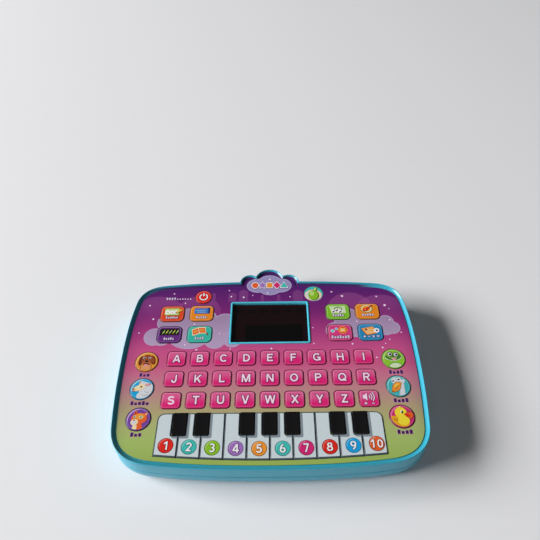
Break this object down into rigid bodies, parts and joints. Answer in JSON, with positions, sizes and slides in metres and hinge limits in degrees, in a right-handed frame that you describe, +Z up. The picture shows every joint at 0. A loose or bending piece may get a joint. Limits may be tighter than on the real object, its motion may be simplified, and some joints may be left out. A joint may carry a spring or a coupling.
{
  "type": "toy learning computer",
  "caption": "Flat toy learning computer: cyan case, printed panel with spring-back letter, piano, mode and animal keys, dark LED display, rear battery bay.",
  "frame": {"origin": "on the table plane under the feet, below the middle of the case outline", "axes": "+X to the right along the longest side, +Y towards the back edge with the bump, +Z up out of the key panel"},
  "size_m": [0.24, 0.1878, 0.028],
  "materials": {
    "case_cyan": "moulded, satin gloss",
    "overlay_print": "glossy printed film, purple to green",
    "lens_dark": "dark tinted acrylic, polished",
    "silicone": "translucent grey silicone, matt",
    "circuit_board": "green solder mask",
    "speaker_frame": "black painted basket",
    "letter_pink": "glossy printed cap",
    "mode_red": "glossy printed cap",
    "mode_orange": "glossy printed cap",
    "mode_purple": "glossy printed cap",
    "mode_teal": "glossy printed cap",
    "mode_green": "glossy printed cap",
    "mode_pink": "glossy printed cap",
    "mode_blue": "glossy printed cap",
    "disc_orange": "glossy printed disc",
    "disc_sky": "glossy printed disc",
    "disc_purple": "glossy printed disc",
    "disc_green": "glossy printed disc",
    "disc_teal": "glossy printed disc",
    "disc_magenta": "glossy printed disc",
    "power_red": "glossy cap",
    "piano_white": "glossy, cool white",
    "piano_black": "glossy black",
    "screw_steel": "zinc plated, slightly dull",
    "foot_rubber": "matt black",
    "wire_red": "pvc insulation",
    "wire_black": "pvc insulation"
  },
  "bodies": {
    "case": {"front_case": "case_cyan", "rear_case": "case_cyan", "battery_cover": "case_cyan", "graphic_overlay": "overlay_print", "display_lens": "lens_dark", "keypad_sheet": "silicone", "main_board": "circuit_board", "speaker": "speaker_frame"},
    "key_a": {"key_a": "letter_pink"},
    "key_b": {"key_b": "letter_pink"},
    "key_c": {"key_c": "letter_pink"},
    "key_d": {"key_d": "letter_pink"},
    "key_e": {"key_e": "letter_pink"},
    "key_f": {"key_f": "letter_pink"},
    "key_g": {"key_g": "letter_pink"},
    "key_h": {"key_h": "letter_pink"},
    "key_i": {"key_i": "letter_pink"},
    "key_j": {"key_j": "letter_pink"},
    "key_k": {"key_k": "letter_pink"},
    "key_l": {"key_l": "letter_pink"},
    "key_m": {"key_m": "letter_pink"},
    "key_n": {"key_n": "letter_pink"},
    "key_o": {"key_o": "letter_pink"},
    "key_p": {"key_p": "letter_pink"},
    "key_q": {"key_q": "letter_pink"},
    "key_r": {"key_r": "letter_pink"},
    "key_s": {"key_s": "letter_pink"},
    "key_t": {"key_t": "letter_pink"},
    "key_u": {"key_u": "letter_pink"},
    "key_v": {"key_v": "letter_pink"},
    "key_w": {"key_w": "letter_pink"},
    "key_x": {"key_x": "letter_pink"},
    "key_y": {"key_y": "letter_pink"},
    "key_z": {"key_z": "letter_pink"},
    "key_volume": {"key_volume": "letter_pink"},
    "mode_key_letter": {"mode_key_letter": "mode_red"},
    "mode_key_word": {"mode_key_word": "mode_orange"},
    "mode_key_spell": {"mode_key_spell": "mode_purple"},
    "mode_key_read": {"mode_key_read": "mode_teal"},
    "mode_key_song": {"mode_key_song": "mode_green"},
    "mode_key_music": {"mode_key_music": "mode_orange"},
    "mode_key_question": {"mode_key_question": "mode_pink"},
    "mode_key_math": {"mode_key_math": "mode_blue"},
    "animal_key_dog": {"animal_key_dog": "disc_orange"},
    "animal_key_sheep": {"animal_key_sheep": "disc_sky"},
    "animal_key_cat": {"animal_key_cat": "disc_purple"},
    "animal_key_frog": {"animal_key_frog": "disc_green"},
    "animal_key_duck": {"animal_key_duck": "disc_teal"},
    "animal_key_bird": {"animal_key_bird": "disc_magenta"},
    "power_button": {"power_button": "power_red"},
    "piano_key_1": {"piano_key_1": "piano_white"},
    "piano_key_2": {"piano_key_2": "piano_white"},
    "piano_key_3": {"piano_key_3": "piano_white"},
    "piano_key_4": {"piano_key_4": "piano_white"},
    "piano_key_5": {"piano_key_5": "piano_white"},
    "piano_key_6": {"piano_key_6": "piano_white"},
    "piano_key_7": {"piano_key_7": "piano_white"},
    "piano_key_8": {"piano_key_8": "piano_white"},
    "piano_key_9": {"piano_key_9": "piano_white"},
    "piano_key_10": {"piano_key_10": "piano_white"}
  },
  "joints": [
    {"name": "key_a_press", "type": "slide", "parent": "case", "child": "key_a", "axis": [0, 0, -1], "range_m": [0, 0.0006], "stiffness_N_per_m": 1200},
    {"name": "key_b_press", "type": "slide", "parent": "case", "child": "key_b", "axis": [0, 0, -1], "range_m": [0, 0.0006], "stiffness_N_per_m": 1200},
    {"name": "key_c_press", "type": "slide", "parent": "case", "child": "key_c", "axis": [0, 0, -1], "range_m": [0, 0.0006], "stiffness_N_per_m": 1200},
    {"name": "key_d_press", "type": "slide", "parent": "case", "child": "key_d", "axis": [0, 0, -1], "range_m": [0, 0.0006], "stiffness_N_per_m": 1200},
    {"name": "key_e_press", "type": "slide", "parent": "case", "child": "key_e", "axis": [0, 0, -1], "range_m": [0, 0.0006], "stiffness_N_per_m": 1200},
    {"name": "key_f_press", "type": "slide", "parent": "case", "child": "key_f", "axis": [0, 0, -1], "range_m": [0, 0.0006], "stiffness_N_per_m": 1200},
    {"name": "key_g_press", "type": "slide", "parent": "case", "child": "key_g", "axis": [0, 0, -1], "range_m": [0, 0.0006], "stiffness_N_per_m": 1200},
    {"name": "key_h_press", "type": "slide", "parent": "case", "child": "key_h", "axis": [0, 0, -1], "range_m": [0, 0.0006], "stiffness_N_per_m": 1200},
    {"name": "key_i_press", "type": "slide", "parent": "case", "child": "key_i", "axis": [0, 0, -1], "range_m": [0, 0.0006], "stiffness_N_per_m": 1200},
    {"name": "key_j_press", "type": "slide", "parent": "case", "child": "key_j", "axis": [0, 0, -1], "range_m": [0, 0.0006], "stiffness_N_per_m": 1200},
    {"name": "key_k_press", "type": "slide", "parent": "case", "child": "key_k", "axis": [0, 0, -1], "range_m": [0, 0.0006], "stiffness_N_per_m": 1200},
    {"name": "key_l_press", "type": "slide", "parent": "case", "child": "key_l", "axis": [0, 0, -1], "range_m": [0, 0.0006], "stiffness_N_per_m": 1200},
    {"name": "key_m_press", "type": "slide", "parent": "case", "child": "key_m", "axis": [0, 0, -1], "range_m": [0, 0.0006], "stiffness_N_per_m": 1200},
    {"name": "key_n_press", "type": "slide", "parent": "case", "child": "key_n", "axis": [0, 0, -1], "range_m": [0, 0.0006], "stiffness_N_per_m": 1200},
    {"name": "key_o_press", "type": "slide", "parent": "case", "child": "key_o", "axis": [0, 0, -1], "range_m": [0, 0.0006], "stiffness_N_per_m": 1200},
    {"name": "key_p_press", "type": "slide", "parent": "case", "child": "key_p", "axis": [0, 0, -1], "range_m": [0, 0.0006], "stiffness_N_per_m": 1200},
    {"name": "key_q_press", "type": "slide", "parent": "case", "child": "key_q", "axis": [0, 0, -1], "range_m": [0, 0.0006], "stiffness_N_per_m": 1200},
    {"name": "key_r_press", "type": "slide", "parent": "case", "child": "key_r", "axis": [0, 0, -1], "range_m": [0, 0.0006], "stiffness_N_per_m": 1200},
    {"name": "key_s_press", "type": "slide", "parent": "case", "child": "key_s", "axis": [0, 0, -1], "range_m": [0, 0.0006], "stiffness_N_per_m": 1200},
    {"name": "key_t_press", "type": "slide", "parent": "case", "child": "key_t", "axis": [0, 0, -1], "range_m": [0, 0.0006], "stiffness_N_per_m": 1200},
    {"name": "key_u_press", "type": "slide", "parent": "case", "child": "key_u", "axis": [0, 0, -1], "range_m": [0, 0.0006], "stiffness_N_per_m": 1200},
    {"name": "key_v_press", "type": "slide", "parent": "case", "child": "key_v", "axis": [0, 0, -1], "range_m": [0, 0.0006], "stiffness_N_per_m": 1200},
    {"name": "key_w_press", "type": "slide", "parent": "case", "child": "key_w", "axis": [0, 0, -1], "range_m": [0, 0.0006], "stiffness_N_per_m": 1200},
    {"name": "key_x_press", "type": "slide", "parent": "case", "child": "key_x", "axis": [0, 0, -1], "range_m": [0, 0.0006], "stiffness_N_per_m": 1200},
    {"name": "key_y_press", "type": "slide", "parent": "case", "child": "key_y", "axis": [0, 0, -1], "range_m": [0, 0.0006], "stiffness_N_per_m": 1200},
    {"name": "key_z_press", "type": "slide", "parent": "case", "child": "key_z", "axis": [0, 0, -1], "range_m": [0, 0.0006], "stiffness_N_per_m": 1200},
    {"name": "key_volume_press", "type": "slide", "parent": "case", "child": "key_volume", "axis": [0, 0, -1], "range_m": [0, 0.0006], "stiffness_N_per_m": 1200},
    {"name": "mode_key_letter_press", "type": "slide", "parent": "case", "child": "mode_key_letter", "axis": [0, 0, -1], "range_m": [0, 0.0006], "stiffness_N_per_m": 1200},
    {"name": "mode_key_word_press", "type": "slide", "parent": "case", "child": "mode_key_word", "axis": [0, 0, -1], "range_m": [0, 0.0006], "stiffness_N_per_m": 1200},
    {"name": "mode_key_spell_press", "type": "slide", "parent": "case", "child": "mode_key_spell", "axis": [0, 0, -1], "range_m": [0, 0.0006], "stiffness_N_per_m": 1200},
    {"name": "mode_key_read_press", "type": "slide", "parent": "case", "child": "mode_key_read", "axis": [0, 0, -1], "range_m": [0, 0.0006], "stiffness_N_per_m": 1200},
    {"name": "mode_key_song_press", "type": "slide", "parent": "case", "child": "mode_key_song", "axis": [0, 0, -1], "range_m": [0, 0.0006], "stiffness_N_per_m": 1200},
    {"name": "mode_key_music_press", "type": "slide", "parent": "case", "child": "mode_key_music", "axis": [0, 0, -1], "range_m": [0, 0.0006], "stiffness_N_per_m": 1200},
    {"name": "mode_key_question_press", "type": "slide", "parent": "case", "child": "mode_key_question", "axis": [0, 0, -1], "range_m": [0, 0.0006], "stiffness_N_per_m": 1200},
    {"name": "mode_key_math_press", "type": "slide", "parent": "case", "child": "mode_key_math", "axis": [0, 0, -1], "range_m": [0, 0.0006], "stiffness_N_per_m": 1200},
    {"name": "animal_key_dog_press", "type": "slide", "parent": "case", "child": "animal_key_dog", "axis": [0, 0, -1], "range_m": [0, 0.0006], "stiffness_N_per_m": 1200},
    {"name": "animal_key_sheep_press", "type": "slide", "parent": "case", "child": "animal_key_sheep", "axis": [0, 0, -1], "range_m": [0, 0.0006], "stiffness_N_per_m": 1200},
    {"name": "animal_key_cat_press", "type": "slide", "parent": "case", "child": "animal_key_cat", "axis": [0, 0, -1], "range_m": [0, 0.0006], "stiffness_N_per_m": 1200},
    {"name": "animal_key_frog_press", "type": "slide", "parent": "case", "child": "animal_key_frog", "axis": [0, 0, -1], "range_m": [0, 0.0006], "stiffness_N_per_m": 1200},
    {"name": "animal_key_duck_press", "type": "slide", "parent": "case", "child": "animal_key_duck", "axis": [0, 0, -1], "range_m": [0, 0.0006], "stiffness_N_per_m": 1200},
    {"name": "animal_key_bird_press", "type": "slide", "parent": "case", "child": "animal_key_bird", "axis": [0, 0, -1], "range_m": [0, 0.0006], "stiffness_N_per_m": 1200},
    {"name": "power_button_press", "type": "slide", "parent": "case", "child": "power_button", "axis": [0, 0, -1], "range_m": [0, 0.0006], "stiffness_N_per_m": 1200},
    {"name": "piano_key_1_press", "type": "slide", "parent": "case", "child": "piano_key_1", "axis": [0, 0, -1], "range_m": [0, 0.0008], "stiffness_N_per_m": 1200},
    {"name": "piano_key_2_press", "type": "slide", "parent": "case", "child": "piano_key_2", "axis": [0, 0, -1], "range_m": [0, 0.0008], "stiffness_N_per_m": 1200},
    {"name": "piano_key_3_press", "type": "slide", "parent": "case", "child": "piano_key_3", "axis": [0, 0, -1], "range_m": [0, 0.0008], "stiffness_N_per_m": 1200},
    {"name": "piano_key_4_press", "type": "slide", "parent": "case", "child": "piano_key_4", "axis": [0, 0, -1], "range_m": [0, 0.0008], "stiffness_N_per_m": 1200},
    {"name": "piano_key_5_press", "type": "slide", "parent": "case", "child": "piano_key_5", "axis": [0, 0, -1], "range_m": [0, 0.0008], "stiffness_N_per_m": 1200},
    {"name": "piano_key_6_press", "type": "slide", "parent": "case", "child": "piano_key_6", "axis": [0, 0, -1], "range_m": [0, 0.0008], "stiffness_N_per_m": 1200},
    {"name": "piano_key_7_press", "type": "slide", "parent": "case", "child": "piano_key_7", "axis": [0, 0, -1], "range_m": [0, 0.0008], "stiffness_N_per_m": 1200},
    {"name": "piano_key_8_press", "type": "slide", "parent": "case", "child": "piano_key_8", "axis": [0, 0, -1], "range_m": [0, 0.0008], "stiffness_N_per_m": 1200},
    {"name": "piano_key_9_press", "type": "slide", "parent": "case", "child": "piano_key_9", "axis": [0, 0, -1], "range_m": [0, 0.0008], "stiffness_N_per_m": 1200},
    {"name": "piano_key_10_press", "type": "slide", "parent": "case", "child": "piano_key_10", "axis": [0, 0, -1], "range_m": [0, 0.0008], "stiffness_N_per_m": 1200}
  ]
}
